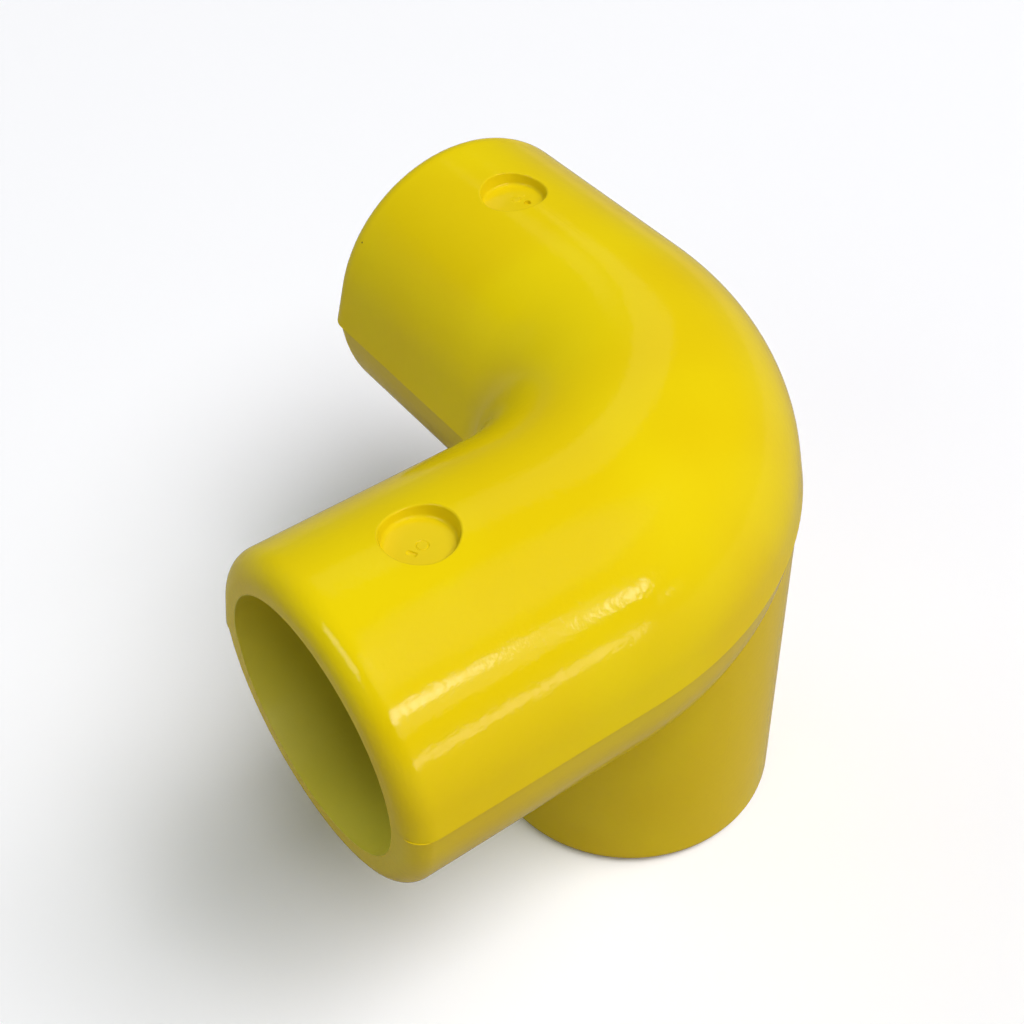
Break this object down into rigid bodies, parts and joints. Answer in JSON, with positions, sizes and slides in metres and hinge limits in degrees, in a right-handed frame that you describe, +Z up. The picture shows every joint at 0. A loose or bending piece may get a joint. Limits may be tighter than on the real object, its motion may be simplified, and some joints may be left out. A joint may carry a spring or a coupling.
{
  "type": "three-way handrail connector",
  "caption": "Moulded handrail corner connector: level tube sockets joined by a round bend, a post socket below it, stop shoulders inside and a flat fixing recess on each socket.",
  "frame": {"origin": "under the middle of the outline, on the plane of the post socket's rim", "axes": "+X along the rear rail socket and out of its mouth, +Y along the front rail socket and out of its mouth, +Z up; the post socket opens towards -Z"},
  "size_m": [0.1308, 0.1308, 0.1185],
  "materials": {
    "yellow_moulding": "glossy, straight from a polished mould"
  },
  "bodies": {
    "root": {"connector_body": "yellow_moulding"}
  },
  "joints": []
}
